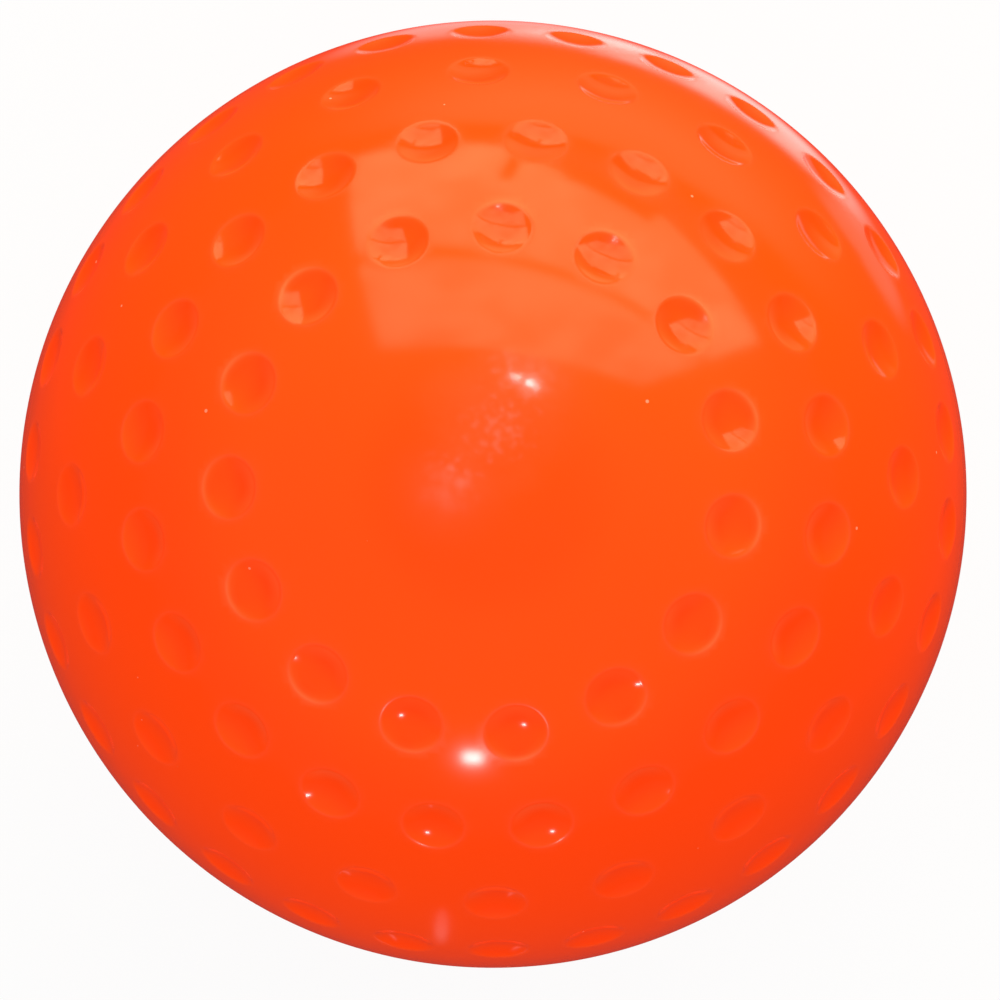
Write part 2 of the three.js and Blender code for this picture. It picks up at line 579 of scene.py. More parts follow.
@dataclass(frozen=True)
class DimplePattern:
    """The rings of dimples round the pole of a half shell, and the bowl that each dimple is."""

    ring_counts: tuple[int, ...] = (15, 20, 20, 30)
    ring_turns: tuple[float, ...] = (5.6, 9.7, 0.0, 0.0)
    first_ring_angle: float = 31.0
    ring_pitch_angle: float = 14.1
    radius: float = 2.3 * MM
    depth: float = 0.555 * MM
    bowl_power: float = 2.2
    rim_round: float = 0.11 * MM
    rim_highlight_arc: float = 2.36 * MM
    rim_highlight_inside: float = 0.6 * MM
    rim_highlight_outside: float = 0.6 * MM
    seep_arc: float = 2.05 * MM
    seep_inside: float = 1.0 * MM
    seep_outside: float = 0.25 * MM
    seep_share: float = 0.5
    rim_highlight_all_round: float = 0.15
    wall_arc: float = 1.9 * MM
    wall_inside: float = 1.2 * MM
    wall_outside: float = 0.5 * MM
    crest_arc: float = 2.41 * MM
    crest_reach: float = 0.3 * MM
    outer_ring_shade: float = 0.9
    first_ring_shade: float = 0.5
    first_ring_wall_loss: float = 0.2
    outer_ring_share: float = 0.1
    ring_fade: float = 6.0

    def centres(self) -> list[Vector]:
        """Lays out the dimples of the upper half, ring by ring.

        Returns:
            The directions of their centres.
        """
        found = []
        for ring, (count, turn) in enumerate(zip(self.ring_counts, self.ring_turns)):
            polar = self.first_ring_angle + ring * self.ring_pitch_angle
            found += [direction_at(polar, turn + FULL_TURN * k / count) for k in range(count)]
        return found

    def depth_at(self, arc: float) -> float:
        """Gives how far the skin lies below the sphere.

        Args:
            arc: Distance along the surface from the dimple's centre.

        Returns:
            The depth, with a rounded rim.
        """
        bowl = self.depth * (1.0 - (arc / self.radius) ** self.bowl_power)
        near_rim = max(self.rim_round - abs(bowl), 0.0) / self.rim_round
        return max(bowl, 0.0) + near_rim * near_rim * self.rim_round / 4.0

    def shade_at(self, way: Vector, centre: Vector, arc: float) -> float:
        """Gives the share of painted shade, which fills the bowls and reaches up their far walls.

        Args:
            way: Direction of a point of the skin.
            centre: Direction of the nearest dimple.
            arc: Distance between the two along the surface.

        Returns:
            The share, which is about 1 in the bottom of a bowl, and more in the first ring.
        """
        first = self._ring_share(centre)
        # Painted shade in the bowl, deeper in the first ring.
        sunk_shade = self.depth_at(arc) / self.depth * (self.outer_ring_shade + self.first_ring_shade * first)
        wall = self._band(arc - self.wall_arc, self.wall_inside, self.wall_outside)
        far_wall = wall * max(0.0, self._side(way, centre)) * (1.0 - self.first_ring_wall_loss * first)
        return sunk_shade + far_wall

    def rim_highlight_at(self, way: Vector, centre: Vector, arc: float) -> float:
        """Gives the share of the painted highlight on a rim, which is strong on the side away from the
        pole.

        Args:
            way: Direction of a point of the skin.
            centre: Direction of the nearest dimple.
            arc: Distance between the two along the surface.

        Returns:
            The share, which is 1 in the middle of a lip of the first ring.
        """
        side = self._side(way, centre)
        band = self._band(arc - self.rim_highlight_arc, self.rim_highlight_inside, self.rim_highlight_outside)
        # Painted highlight on the wall towards the pole, standing in for light that spreads under the
        # skin.
        seep = self._band(arc - self.seep_arc, self.seep_inside, self.seep_outside)
        round_share = self.rim_highlight_all_round + (1.0 - self.rim_highlight_all_round) * max(0.0, side)
        far_side = (band * round_share) ** 2 * self._ring_share(centre)
        return max(far_side, seep * max(0.0, -side) * self.seep_share)

    def crest_at(self, arc: float) -> float:
        """Gives the share of a rim's worn crest at a distance from the dimple's centre."""
        return self._band(arc - self.crest_arc, self.crest_reach, self.crest_reach)

    def _ring_share(self, centre: Vector) -> float:
        """Gives 1 for a dimple of the first ring, and little for the other rings."""
        first_ring_height = math.cos(math.radians(self.first_ring_angle))
        return max(self.outer_ring_share, 1.0 - self.ring_fade * (first_ring_height - centre.z))

    @staticmethod
    def _side(way: Vector, centre: Vector) -> float:
        """Gives 1 on the side of a dimple away from the pole, and -1 on the side towards it."""
        outward = (centre * centre.z - Vector(UPWARDS)).normalized()
        return (way - centre).normalized().dot(outward)

    @staticmethod
    def _band(off: float, inside: float, outside: float) -> float:
        """Gives a band's share, which falls from 1 in its middle to 0 at either edge.

        Args:
            off: Distance from the middle, positive on the outside.
            inside: Reach of the band on the inside.
            outside: Reach of the band on the outside.

        Returns:
            The share.
        """
        return max(0.0, 1.0 - abs(off) / (inside if off < 0.0 else outside))


@dataclass(frozen=True)
class FusedSeam:
    """The joint of the half shells: a tongue in a groove, and a fine witness line outside."""

    witness_depth: float = 0.12 * MM
    witness_half_width: float = 0.45 * MM
    tongue_width: float = 2.2 * MM
    tongue_height: float = 2.0 * MM
    tongue_draft: float = 0.25 * MM
    clearance: float = 0.3 * MM

    def witness_at(self, height: float) -> float:
        """Gives the depth of the witness line at a height above the seam."""
        share = max(0.0, 1.0 - abs(height) / self.witness_half_width)
        return self.witness_depth * share * share

    def joint_rings(self, middle: float, half: Half) -> list[tuple[float, float]]:
        """Gives the rings of the parting face from outside to inside, with the pole up.

        Args:
            middle: Radius of the middle of the wall.
            half: The tongue is on the upper half, and the groove in the lower.

        Returns:
            Radius and height of each ring.
        """
        grown = 0.0 if half is Half.UPPER else self.clearance
        way = -1.0 if half is Half.UPPER else 1.0
        root = self.tongue_width / 2.0 + grown
        tip = root - self.tongue_draft
        height = way * (self.tongue_height + grown)
        return [
            (middle + root, 0.0),
            (middle + tip, height),
            (middle - tip, height),
            (middle - root, 0.0),
        ]


@dataclass
class Cover:
    """The dimpled cover: two moulded half shells that meet at the seam."""

    radius: float
    wall: float = 6.5 * MM
    pattern: DimplePattern = field(default_factory=DimplePattern)
    seam: FusedSeam = field(default_factory=FusedSeam)
    finish: CoverPlastic = field(default_factory=CoverPlastic)
    grid_cuts: int = 95
    seam_cuts: int = 3
    dimple_segments: int = 48
    bowl_rings: int = 6
    rim_rings: int = 8
    rim_reach: float = 0.3 * MM
    dimple_margin: float = 0.12 * MM
    pocket_steps: int = 14
    sharp_angle: float = 50.0
    snap_share: float = 1e-5
    seam_share: float = 1e-4

    def build(self, shelf: GroupShelf) -> list[bpy.types.Object]:
        """Builds and dresses both half shells.

        Args:
            shelf: The shared shader groups.

        Returns:
            The two pieces.
        """
        plastic = self.finish.material(shelf)
        skin = self._skin()
        pieces = []
        for half in Half:
            piece = self._half_shell(skin.copy(), half)
            piece.data.materials.append(plastic)
            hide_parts(f"cover_{half.value}_half")
            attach(piece, "root")
            pieces.append(piece)
        skin.free()
        return pieces

    def _skin(self) -> bmesh.types.BMesh:
        """Models the outside that both half shells share, with its pole up.

        Returns:
            The open, dimpled dome.
        """
        centres = KDTree(sum(self.pattern.ring_counts))
        for index, centre in enumerate(self.pattern.centres()):
            centres.insert(centre, index)
        centres.balance()
        bm = bmesh.new()
        self._dome(bm)
        self._set_dimples(bm, centres)
        self._split_seam_row(bm)
        self._mould(bm, centres)
        return bm

    def _half_shell(self, bm: bmesh.types.BMesh, half: Half) -> bpy.types.Object:
        """Closes one half shell with its pole up, and turns the lower one over.

        Args:
            bm: Its own copy of the skin.
            half: Which half shell it is.

        Returns:
            The piece.
        """
        self._close(bm, half)
        if half is Half.LOWER:
            turn_over = Matrix.Rotation(math.pi, 3, "X")
            bmesh.ops.rotate(bm, verts=bm.verts[:], cent=(0.0, 0.0, 0.0), matrix=turn_over)
        bmesh.ops.recalc_face_normals(bm, faces=bm.faces[:])
        for face in bm.faces:
            face.smooth = True
        # Blender's tools leave the points and faces in an order that changes from run to run.
        bm.verts.sort(key=lambda vert: order_of(vert.co))
        bm.faces.sort(key=lambda face: order_of(face.calc_center_median()))
        piece = object_from(f"cover_{half.value}_shell", bm)
        piece.data.set_sharp_from_angle(angle=math.radians(self.sharp_angle))
        return piece

    def _dome(self, bm: bmesh.types.BMesh) -> None:
        """Makes an even grid over the upper half of the sphere, with a ring of edges at z = 0.

        Args:
            bm: An empty bmesh.
        """
        bmesh.ops.create_cube(bm, size=2.0)
        bmesh.ops.subdivide_edges(bm, edges=bm.edges[:], cuts=self.grid_cuts, use_grid_fill=True)
        for vert in bm.verts:
            even = Vector(math.tan(c * math.pi / 4.0) for c in vert.co)
            vert.co = even.normalized() * self.radius
        everything = bm.verts[:] + bm.edges[:] + bm.faces[:]
        bmesh.ops.bisect_plane(
            bm,
            geom=everything,
            dist=self.radius * self.snap_share,
            plane_co=(0.0, 0.0, 0.0),
            plane_no=UPWARDS,
            clear_inner=True,
        )

    def _arc_to_dimple(self, point: Vector, centres: KDTree) -> float:
        """Measures along the surface to the nearest dimple's centre.

        Args:
            point: A point outside the centre of the ball.
            centres: The dimples' directions.

        Returns:
            The distance on the sphere.
        """
        chord = centres.find(point.normalized())[2]
        return 2.0 * self.radius * math.asin(min(1.0, chord / 2.0))

    def _set_dimples(self, bm: bmesh.types.BMesh, centres: KDTree) -> None:
        """Cuts a hole in the dome at every dimple, and fills it with rings round the dimple.

        Args:
            bm: The dome.
            centres: The dimples' directions.
        """
        reach = self.pattern.radius + self.rim_reach + self.dimple_margin
        inner = [vert for vert in bm.verts if self._arc_to_dimple(vert.co, centres) < reach]
        cut = dict.fromkeys(face for vert in inner for face in vert.link_faces)
        edges = dict.fromkeys(edge for face in cut for edge in face.edges)
        border = [edge for edge in edges if not all(face in cut for face in edge.link_faces)]
        bmesh.ops.delete(bm, geom=list(cut), context="FACES")
        pairs: dict[int, list[bmesh.types.BMEdge]] = {}
        for edge in [*border, *self._dimple_rings(bm, centres)]:
            middle = edge.verts[0].co + edge.verts[1].co
            pairs.setdefault(centres.find(middle.normalized())[1], []).append(edge)
        for loops in pairs.values():
            bmesh.ops.bridge_loops(bm, edges=loops)

    def _dimple_rings(self, bm: bmesh.types.BMesh, centres: KDTree) -> list[bmesh.types.BMEdge]:
        """Lays rings of faces round all the dimples, close together at the rims.

        Args:
            bm: The dome.
            centres: The dimples' directions.

        Returns:
            The open edges of the last rings.
        """
        rim_start = self.pattern.radius - self.rim_reach
        arcs = [rim_start * (k + 1) / self.bowl_rings for k in range(self.bowl_rings)]
        arcs += [
            rim_start + 2.0 * self.rim_reach * (k + 1) / self.rim_rings for k in range(self.rim_rings)
        ]
        verts = []
        for centre in self.pattern.centres():
            facing = centre.to_track_quat("Z", "Y").to_matrix().to_4x4()
            made = bmesh.ops.create_circle(
                bm,
                cap_ends=True,
                cap_tris=True,
                segments=self.dimple_segments,
                radius=arcs[0],
                matrix=Matrix.Translation(centre * self.radius) @ facing,
            )
            verts += made["verts"]
        linked = dict.fromkeys(edge for vert in verts for edge in vert.link_edges)
        loop = [edge for edge in linked if edge.is_boundary]
        for arc in arcs[1:]:
            made = bmesh.ops.extrude_edge_only(bm, edges=loop)["geom"]
            for vert in (item for item in made if isinstance(item, bmesh.types.BMVert)):
                centre = centres.find(vert.co.normalized())[0]
                side = (vert.co - centre * vert.co.dot(centre)).normalized()
                angle = arc / self.radius
                vert.co = (centre * math.cos(angle) + side * math.sin(angle)) * self.radius
            edges = [item for item in made if isinstance(item, bmesh.types.BMEdge)]
            loop = [edge for edge in edges if edge.is_boundary]
        return loop

    def _split_seam_row(self, bm: bmesh.types.BMesh) -> None:
        """Splits the row of faces beside the seam, so that the witness line has a shape.

        Args:
            bm: The dome.
        """
        level = self.radius * self.seam_share
        edges = [edge for edge in bm.edges if len({vert.co.z < level for vert in edge.verts}) == 2]
        bmesh.ops.subdivide_edges(bm, edges=edges, cuts=self.seam_cuts, use_grid_fill=True)

    def _mould(self, bm: bmesh.types.BMesh, centres: KDTree) -> None:
        """Moves every point to the moulded skin, with its dimples and the witness line, and gives it its
        shares of painted shade, painted rim highlight and worn crest.

        Args:
            bm: The dome.
            centres: The dimples' directions.
        """
        painted_shade = bm.verts.layers.float.new("painted_shade")
        painted_rim_highlight = bm.verts.layers.float.new("painted_rim_highlight")
        crest = bm.verts.layers.float.new("crest")
        for vert in bm.verts:
            way = vert.co.normalized()
            arc = self._arc_to_dimple(way, centres)
            centre = centres.find(way)[0]
            # Shares of painted shade, painted rim highlight and worn crest at this point.
            vert[painted_shade] = self.pattern.shade_at(way, centre, arc)
            vert[painted_rim_highlight] = self.pattern.rim_highlight_at(way, centre, arc)
            vert[crest] = self.pattern.crest_at(arc)
            sunk = self.pattern.depth_at(arc) + self.seam.witness_at(way.z * self.radius)
            vert.co = way * (self.radius - sunk)

    def _close(self, bm: bmesh.types.BMesh, half: Half) -> None:
        """Runs the open edge round the joint and up the pocket, which ends at its pole.

        Args:
            bm: The moulded dome.
            half: Which half shell it is.
        """
        pocket = self.radius - self.wall
        rings = self.seam.joint_rings((self.radius + pocket) / 2.0, half)
        for step in range(self.pocket_steps):
            polar = math.pi / 2.0 * (1.0 - step / self.pocket_steps)
            rings.append((pocket * math.sin(polar), pocket * math.cos(polar)))
        loop = [edge for edge in bm.edges if edge.is_boundary]
        for ring_radius, height in rings:
            loop = self._next_ring(bm, loop, ring_radius, height)
        last = self._next_ring(bm, loop, ring_radius / 2.0, pocket)
        corners = list(dict.fromkeys(vert for edge in last for vert in edge.verts))
        bmesh.ops.pointmerge(bm, verts=corners, merge_co=(0.0, 0.0, pocket))

    @staticmethod
    def _next_ring(
        bm: bmesh.types.BMesh, loop: list[bmesh.types.BMEdge], ring_radius: float, height: float
    ) -> list[bmesh.types.BMEdge]:
        """Extrudes an open ring of edges to another ring about the axis.

        Args:
            bm: The shell.
            loop: The open edges.
            ring_radius: Radius of the new ring.
            height: Height of the new ring.

        Returns:
            The new open edges.
        """
        made = bmesh.ops.extrude_edge_only(bm, edges=loop)["geom"]
        for vert in (item for item in made if isinstance(item, bmesh.types.BMVert)):
            out = Vector((vert.co.x, vert.co.y, 0.0)).normalized() * ring_radius
            vert.co = out + Vector((0.0, 0.0, height))
        edges = [item for item in made if isinstance(item, bmesh.types.BMEdge)]
        return [edge for edge in edges if edge.is_boundary]


@dataclass
class Core:
    """The bonded core, whose solids carry over: two cork cups round a rubber centre."""

    cork: PressedCork = field(default_factory=PressedCork)
    rubber: CentreRubber = field(default_factory=CentreRubber)

    def dress(self, nodes: dict[str, bpy.types.Object], shelf: GroupShelf) -> list[bpy.types.Object]:
        """Gives the core's solids their finishes.

        Args:
            nodes: The solids of the frame, by name.
            shelf: The shared shader groups.

        Returns:
            The dressed solids.
        """
        cork = self.cork.material(shelf)
        finishes = {
            "core_rear_cup": cork,
            "core_front_cup": cork,
            "core_centre": self.rubber.material(shelf),
        }
        for name, material in finishes.items():
            nodes[name].material_slots[0].material = material
        return [nodes[name] for name in finishes]


@dataclass(frozen=True)
class LightCard:
    """A flat glowing panel of the studio that the camera doesn't see."""

    name: str
    centre: Place
    size: tuple[float, float]
    roll: float
    colour: Colour
    radiance: float
    seen_by: SeenBy = SeenBy.LIGHT_PATHS
    unevenness: float = 0.0
    uneven_scale: float = 7.0
    uneven_levels: tuple[float, float] = (0.4, 0.62)

    def build(self) -> bpy.types.Object:
        """Builds the panel upright, facing the ball along Y.

        Returns:
            The panel.
        """
        bm = bmesh.new()
        bmesh.ops.create_grid(bm, x_segments=1, y_segments=1, size=0.5)
        place = (
            Matrix.Translation(self.centre)
            @ Matrix.Rotation(math.radians(-self.roll), 4, "Y")
            @ Matrix.Rotation(math.pi / 2.0, 4, "X")
            @ Matrix.Diagonal((*self.size, 1.0, 1.0))
        )
        bmesh.ops.transform(bm, matrix=place, verts=bm.verts[:])
        card = object_from(self.name, bm)
        material, bench = new_material(self.name)
        noise = bench.noise(bench.place(), self.uneven_scale, CLOUDY_DETAIL)
        dimmed = bench.math("MULTIPLY", bench.step(noise, *self.uneven_levels), self.unevenness)
        strength = bench.math("MULTIPLY", bench.math("SUBTRACT", 1.0, dimmed), self.radiance)
        bench.surface(bench.glow(self.colour, strength))
        if self.seen_by is SeenBy.GLOSS_ONLY:
            not_a_lamp(material)
        card.data.materials.append(material)
        return as_equipment(card, self.seen_by)


@dataclass(frozen=True)
class GlowPatch:
    """An oval patch of light that only the gloss shows, with a soft edge and a broken middle."""

    name: str
    centre: Place
    size: tuple[float, float]
    radiance: float
    azimuth: float = 0.0
    colour: Colour = WHITE
    facing: Place = UPWARDS
    soft_share: float = 0.55
    breaks: float = 0.0
    break_scale: float = 32.0
    break_levels: tuple[float, float] = (0.64, 0.44)
    ragged_share: float = 0.3

    def build(self) -> bpy.types.Object:
        """Builds the patch as a disc that adds its light to what lies behind it.

        Returns:
            The disc.
        """
        disc = flat_disc(self.name, self.size, self.centre, self.azimuth, self.facing)
        material, bench = new_material(self.name)
        soft = bench.step(bench.attribute("middle"), 0.0, self.soft_share)
        noise = bench.noise(bench.place(), self.break_scale, FINE_DETAIL)
        ragged = bench.math("MULTIPLY", bench.math("SUBTRACT", 1.0, soft), self.ragged_share)
        kept = bench.math("SUBTRACT", noise, ragged)
        broken = bench.math("MULTIPLY", bench.step(kept, *self.break_levels), self.breaks)
        strength = bench.math("MULTIPLY", soft, bench.math("SUBTRACT", self.radiance, broken))
        glow = bench.glow(self.colour, strength)
        clear = bench.add("ShaderNodeBsdfTransparent").outputs["BSDF"]
        bench.surface(bench.add("ShaderNodeAddShader", {0: glow, 1: clear}).outputs["Shader"])
        disc.data.materials.append(not_a_lamp(material))
        return as_equipment(disc, SeenBy.GLOSS_ONLY)


@dataclass(frozen=True)
class FloorPatch:
    """A bright oval on the floor, with its place and half sizes in radii of the ball."""

    azimuth: float
    distance: float
    across: float
    outward: float
    radiance: float
    colour: Colour = WHITE

    def glow(self, name: str, ball_radius: float) -> GlowPatch:
        """Turns the oval into a glow patch just above the floor.

        Args:
            name: Name of the patch.
            ball_radius: Radius of the ball that stands on the floor.

        Returns:
            The patch, not yet built.
        """
        spot = direction_at(LEVEL_ANGLE, self.azimuth) * self.distance * ball_radius
        centre = (spot.x, spot.y, PATCH_LIFT - ball_radius)
        size = (self.across * ball_radius, self.outward * ball_radius)
        return GlowPatch(name, centre, size, self.radiance, self.azimuth, self.colour)


@dataclass(frozen=True)
class SkyPatch:
    """A round patch of broken light overhead, with its place and radius in metres."""

    x: float
    y: float
    radius: float
    radiance: float
    soft_share: float = 0.95
    broken_share: float = 0.9

    def glow(self, name: str, height: float) -> GlowPatch:
        """Turns the round into a glow patch.

        Args:
            name: Name of the patch.
            height: Its height above the centre of the ball.

        Returns:
            The patch, not yet built.
        """
        centre = (self.x, self.y, height)
        size = (self.radius, self.radius)
        breaks = self.broken_share * self.radiance
        return GlowPatch(name, centre, size, self.radiance, soft_share=self.soft_share, breaks=breaks)


@dataclass(frozen=True)
class SillThing:
    """A dark thing on the window's sill, with its sizes per unit of the window's distance."""

    start: float
    width: float
    height: float


def flat_disc(
    name: str,
    size: tuple[float, float],
    centre: Place,
    azimuth: float = 0.0,
    facing: Place = UPWARDS,
) -> bpy.types.Object:
    """Makes a flat oval disc, level unless it is told to face elsewhere.

    Args:
        name: Name of the object.
        size: Half its width and half its length.
        centre: Its centre.
        azimuth: The way that its length runs in its own plane.
        facing: The way that it faces.

    Returns:
        The disc, whose attribute "middle" falls from 1 in its middle to 0 at its edge.
    """
    bm = bmesh.new()
    turn = Vector(facing).to_track_quat("Z", "Y").to_matrix().to_4x4()
    run = Matrix.Rotation(math.radians(-azimuth), 4, "Z")
    place = Matrix.Translation(centre) @ turn @ run @ Matrix.Diagonal((*size, 1.0, 1.0))
    bmesh.ops.create_circle(
        bm, cap_ends=True, cap_tris=True, segments=DISC_SEGMENTS, radius=1.0, matrix=place
    )
    middle = bm.verts.layers.float.new("middle")
    for vert in bm.verts:
        vert[middle] = 0.0 if vert.is_boundary else 1.0
    return object_from(name, bm)


def not_a_lamp(material: bpy.types.Material) -> bpy.types.Material:
    """Keeps the renderer from searching a faint glow for light.

    Args:
        material: The glowing material.

    Returns:
        The same material.
    """
    material.cycles.emission_sampling = "NONE"
    return material


def as_equipment(item: bpy.types.Object, seen_by: SeenBy) -> bpy.types.Object:
    """Sets which rays see a piece of studio equipment.

    Args:
        item: The floor, panel or tent.
        seen_by: The rays that see it.

    Returns:
        The same object.
    """
    for ray in SeenBy.EVERYTHING.value:
        setattr(item, f"visible_{ray}", ray in seen_by.value)
    return item


@dataclass
class Studio:
    """A pale floor, an even surround, a window to one side and a dim tent for the reflections."""

    ball_radius: float
    floor_colour: Colour = (0.82, 0.82, 0.82, 1.0)
    floor_bounce: Colour = (0.42, 0.42, 0.42, 1.0)
    floor_lift: float = 0.93
    floor_radius: float = 4.0
    surround: float = 0.75
    soft_box_azimuth: float = 20.0
    soft_box_elevation: float = 12.0
    soft_box_distance: float = 1.0
    soft_box_size: tuple[float, float] = (0.8, 0.5)
    soft_box_radiance: float = 6.5
    tent_radius: float = 1.6
    tent_low: Colour = (0.1, 0.09, 0.07, 1.0)
    tent_room: Colour = (0.5, 0.45, 0.1, 1.0)
    tent_gap: Colour = (0.22, 0.2, 0.08, 1.0)
    tent_heights: tuple[float, ...] = (0.05, 0.6, 0.82, 0.95)
    tent_ground: float = 0.045
    tent_subdivisions: int = 4
    window_distance: float = 0.5
    window_roll: float = 13.0
    window_width: float = 2.35
    window_height: float = 1.5
    window_corner: tuple[float, float] = (-0.4, -0.06)
    bar_height: float = 0.6
    bar_width: float = 0.07
    window_colour: Colour = (1.0, 0.95, 0.52, 1.0)
    window_radiance: tuple[float, float] = (2.6, 2.3)
    window_unevenness: float = 0.35
    sill_things: tuple[SillThing, ...] = (
        SillThing(start=0.495, width=0.045, height=0.18),
        SillThing(start=0.55, width=0.13, height=0.05),
        SillThing(start=0.68, width=0.38, height=0.09),
    )
    sill_distance_share: float = 0.99
    lamp_direction: Place = (-0.078, -0.911, 0.405)
    lamp_distance: float = 0.6
    lamp_size: tuple[float, float] = (0.038, 0.03)
    lamp_radiance: float = 42.0
    halo_radius: float = 0.08
    halo_radiance: float = 0.35
    floor_patches: tuple[FloorPatch, ...] = (
        FloorPatch(azimuth=28.0, distance=1.66, across=1.05, outward=0.48, radiance=1.25),
        FloorPatch(azimuth=2.0, distance=1.52, across=0.7, outward=0.42, radiance=0.55),
        FloorPatch(azimuth=57.0, distance=2.2, across=0.5, outward=0.4, radiance=0.35),
        FloorPatch(azimuth=188.6, distance=2.55, across=0.05, outward=0.8, radiance=0.42),
        FloorPatch(
            azimuth=18.0,
            distance=8.2,
            across=5.8,
            outward=6.56,
            radiance=0.6,
            colour=(1.0, 0.9, 0.5, 1.0),
        ),
    )
    sky_height: float = 1.0
    sky_patches: tuple[SkyPatch, ...] = (
        SkyPatch(x=0.2, y=0.53, radius=0.5, radiance=1.9),
        SkyPatch(x=0.05, y=0.25, radius=0.36, radiance=1.5),
        SkyPatch(x=-0.16, y=0.01, radius=0.31, radiance=2.5),
        SkyPatch(x=0.16, y=0.7, radius=0.3, radiance=2.4),
        SkyPatch(x=0.2, y=0.45, radius=0.085, radiance=34.0),
        SkyPatch(x=0.13, y=0.485, radius=0.06, radiance=20.0),
    )

    def build(self) -> list[bpy.types.Object]:
        """Builds everything but the camera.

        Returns:
            The floor, the tent and the lights.
        """
        self._surround()
        lights = [self._soft_box(), *self._window(), *self._lamp(), *self._bright_floor(), *self._sky()]
        return [self._floor(), *self._tent(), *lights]

    def _surround(self) -> None:
        """Lights the scene evenly from all sides, in front of a white backdrop."""
        world = bpy.data.worlds.new("even_surround")
        world.use_nodes = True
        bench = NodeBench(world.node_tree)
        light = bench.add("ShaderNodeBackground", {"Color": WHITE, "Strength": self.surround})
        backdrop = bench.add("ShaderNodeBackground", {"Color": WHITE, "Strength": 1.0})
        mixed = bench.add(
            "ShaderNodeMixShader",
            {0: self._shown(bench), 1: light.outputs[0], 2: backdrop.outputs[0]},
        )
        bench.add("ShaderNodeOutputWorld", {"Surface": mixed.outputs[0]})
        bpy.context.scene.world = world

    @staticmethod
    def _shown(bench: NodeBench) -> object:
        """Tells the rays that show a surface from those that only carry its light.

        Args:
            bench: A bench on a material or the world.

        Returns:
            The socket that is 1 for camera, glossy and transmission rays.
        """
        path = bench.add("ShaderNodeLightPath")
        shown = bench.math("MAXIMUM", path.outputs["Is Camera Ray"], path.outputs["Is Glossy Ray"])
        return bench.math("MAXIMUM", shown, path.outputs["Is Transmission Ray"])

    def _soft_box(self) -> bpy.types.Object:
        """Makes the low soft box on the window's side, which the gloss doesn't show.

        Returns:
            The soft box.
        """
        way = direction_at(LEVEL_ANGLE - self.soft_box_elevation, self.soft_box_azimuth)
        card = LightCard(
            name="soft_box",
            centre=tuple(way * self.soft_box_distance),
            size=self.soft_box_size,
            roll=0.0,
            colour=WHITE,
            radiance=self.soft_box_radiance,
            seen_by=SeenBy.DIFFUSE_ONLY,
        )
        return card.build()

    def _floor(self) -> bpy.types.Object:
        """Makes the pale floor. It shows nearly white, and keeps the ball's shadow.

        Returns:
            The floor.
        """
        floor = flat_disc("floor", (self.floor_radius,) * 2, (0.0, 0.0, -self.ball_radius))
        material, bench = new_material("pale_floor")
        shown = self._shown(bench)
        colour = bench.blend(shown, self.floor_bounce, self.floor_colour)
        paint = bench.add("ShaderNodeBsdfDiffuse", {"Color": colour}).outputs["BSDF"]
        lift = bench.math("MULTIPLY", shown, self.floor_lift)
        mixed = bench.add("ShaderNodeMixShader", {0: lift, 1: paint, 2: bench.glow(WHITE, 1.0)})
        bench.surface(mixed.outputs["Shader"])
        floor.data.materials.append(not_a_lamp(material))
        return as_equipment(floor, SeenBy.EVERYTHING)

    def _tent(self) -> list[bpy.types.Object]:
        """Makes what the gloss reflects: a warm dome that dims overhead, and a dark ground.

        Returns:
            The dome and the ground cloth.
        """
        bm = bmesh.new()
        bmesh.ops.create_icosphere(bm, subdivisions=self.tent_subdivisions, radius=self.tent_radius)
        dome = object_from("tent_dome", bm)
        material, bench = new_material("tent_dome")
        way = bench.add("ShaderNodeVectorMath", {0: bench.place()}, operation="NORMALIZE")
        height = bench.add("ShaderNodeSeparateXYZ", {0: way.outputs["Vector"]}).outputs["Z"]
        low, room, room_end, gap = self.tent_heights
        colour = bench.blend(bench.step(height, low, room), self.tent_low, self.tent_room)
        colour = bench.blend(bench.step(height, room_end, gap), colour, self.tent_gap)
        bench.surface(bench.glow(colour, 1.0))
        dome.data.materials.append(not_a_lamp(material))
        middle = (0.0, 0.0, GROUND_LIFT - self.ball_radius)
        ground = flat_disc("tent_ground", (self.tent_radius,) * 2, middle)
        cloth, bench = new_material("tent_ground")
        bench.surface(bench.glow(WHITE, self.tent_ground))
        ground.data.materials.append(not_a_lamp(cloth))
        return [as_equipment(item, SeenBy.GLOSS_ONLY) for item in (dome, ground)]

    def _window(self) -> list[bpy.types.Object]:
        """Makes the window behind the ball: two panes with a bar between, and things on its sill.

        Returns:
            The panes and the dark things.
        """
        spans = ((0.0, self.bar_height), (self.bar_height + self.bar_width, self.window_height))
        cards = []
        for name, span, radiance in zip(("lower_pane", "upper_pane"), spans, self.window_radiance):
            corners = Vector((0.0, span[0])), Vector((self.window_width, span[1]))
            cards.append(self._window_card(name, corners, radiance, SeenBy.LIGHT_PATHS))
        for index, thing in enumerate(self.sill_things):
            corners = Vector((thing.start, 0.0)), Vector((thing.start + thing.width, thing.height))
            name = f"sill_thing_{index}"
            cards.append(self._window_card(name, corners, self.tent_ground, SeenBy.GLOSS_ONLY))
        return cards

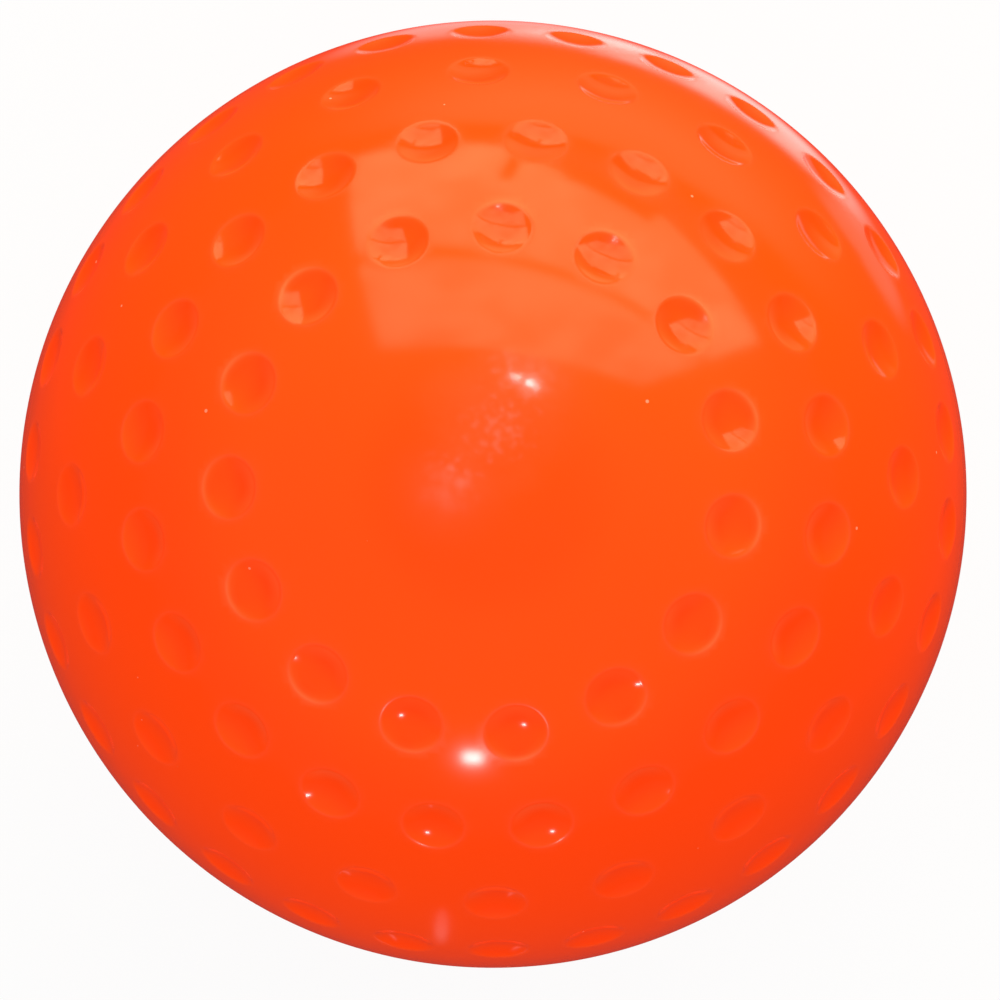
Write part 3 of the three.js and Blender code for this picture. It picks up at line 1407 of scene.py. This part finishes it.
    def _window_card(
        self, name: str, corners: tuple[Vector, Vector], radiance: float, seen_by: SeenBy
    ) -> bpy.types.Object:
        """Makes one upright card of the window, which leans by the window's roll.

        Args:
            name: Name of the card.
            corners: Its lowest and highest corner in the window, per unit of distance.
            radiance: Its strength. What only the gloss sees stands just before the panes.
            seen_by: The rays that see it.

        Returns:
            The card.
        """
        share = 1.0 if seen_by is SeenBy.LIGHT_PATHS else self.sill_distance_share
        distance = self.window_distance * share
        turn = Matrix.Rotation(math.radians(self.window_roll), 2)
        across, up = Vector(self.window_corner) + turn @ ((corners[0] + corners[1]) / 2.0)
        card = LightCard(
            name=name,
            centre=tuple(Vector((across, 1.0, up)) * distance),
            size=tuple((corners[1] - corners[0]) * distance),
            roll=self.window_roll,
            colour=self.window_colour,
            radiance=radiance,
            seen_by=seen_by,
            unevenness=self.window_unevenness,
        )
        return card.build()

    def _lamp(self) -> list[bpy.types.Object]:
        """Makes the small low lamp that gives the bright spot, and the haze round it.

        Returns:
            The lamp and its halo.
        """
        centre = tuple(Vector(self.lamp_direction) * self.lamp_distance)
        lamp = LightCard("low_lamp", centre, self.lamp_size, 0.0, WHITE, self.lamp_radiance)
        halo_size = (self.halo_radius, self.halo_radius)
        halo = GlowPatch("lamp_halo", centre, halo_size, self.halo_radiance, facing=self.lamp_direction)
        return [lamp.build(), halo.build()]

    def _bright_floor(self) -> list[bpy.types.Object]:
        """Makes the bright floor: a sheet and sunlight on the window's side, a strip on the other."""
        patches = enumerate(self.floor_patches)
        return [patch.glow(f"floor_patch_{index}", self.ball_radius).build() for index, patch in patches]

    def _sky(self) -> list[bpy.types.Object]:
        """Makes the broken light overhead, which hazes the cap and glints in the dimples.

        Returns:
            The patches of light.
        """
        made = []
        for index, patch in enumerate(self.sky_patches):
            height = self.sky_height + index * MM
            made.append(patch.glow(f"sky_patch_{index}", height).build())
        return made


@dataclass
class PhotoCamera:
    """The camera, which looks down on the smooth cap from well above."""

    ball_radius: float
    distance_in_radii: float = 20.0
    towards: Place = (0.0227, -0.0326, 0.9992)
    image_up_azimuth: float = 1.17
    ball_centre_px: tuple[float, float] = (493.0, 494.2)
    ball_radius_px: float = 473.7
    clip_end: float = 100.0

    def build(self) -> bpy.types.Object:
        """Places the camera so that the ball fills the frame as in the photograph.

        Returns:
            The camera, set as the scene's own.
        """
        data = bpy.data.cameras.new("photo_camera")
        camera = bpy.data.objects.new("photo_camera", data)
        bpy.context.scene.collection.objects.link(camera)
        distance = self.distance_in_radii * self.ball_radius
        half_angle = math.asin(1.0 / self.distance_in_radii)
        data.lens = self.ball_radius_px / math.tan(half_angle) / IMAGE_SIDE * data.sensor_width
        data.clip_end = self.clip_end
        back = Vector(self.towards).normalized()
        right = direction_at(LEVEL_ANGLE, self.image_up_azimuth).cross(back).normalized()
        up = back.cross(right)
        size_of_px = distance / (data.lens / data.sensor_width * IMAGE_SIDE)
        off_right = (IMAGE_SIDE / 2 - self.ball_centre_px[0]) * size_of_px
        off_down = (IMAGE_SIDE / 2 - self.ball_centre_px[1]) * size_of_px
        place = back * distance + right * off_right - up * off_down
        camera.matrix_world = Matrix.Translation(place) @ Matrix((right, up, back)).transposed().to_4x4()
        bpy.context.scene.camera = camera
        return camera


def main() -> None:
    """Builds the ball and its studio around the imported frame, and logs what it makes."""
    logging.basicConfig(level=logging.INFO, format="%(name)s: %(message)s")
    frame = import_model()
    bpy.context.scene.view_settings.view_transform = "Standard"
    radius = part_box("cover_upper_half")[1][2]
    shelf = GroupShelf()
    for piece in Cover(radius).build(shelf):
        log.info("built %s with %d faces", piece.name, len(piece.data.polygons))
    for solid in Core().dress(frame["nodes"], shelf):
        log.info("dressed %s", solid.name)
    for item in Studio(radius).build():
        log.info("set up %s", item.name)
    camera = PhotoCamera(radius).build()
    log.info("placed %s with a %.0f mm lens", camera.name, camera.data.lens)


if __name__ == "__main__":
    main()
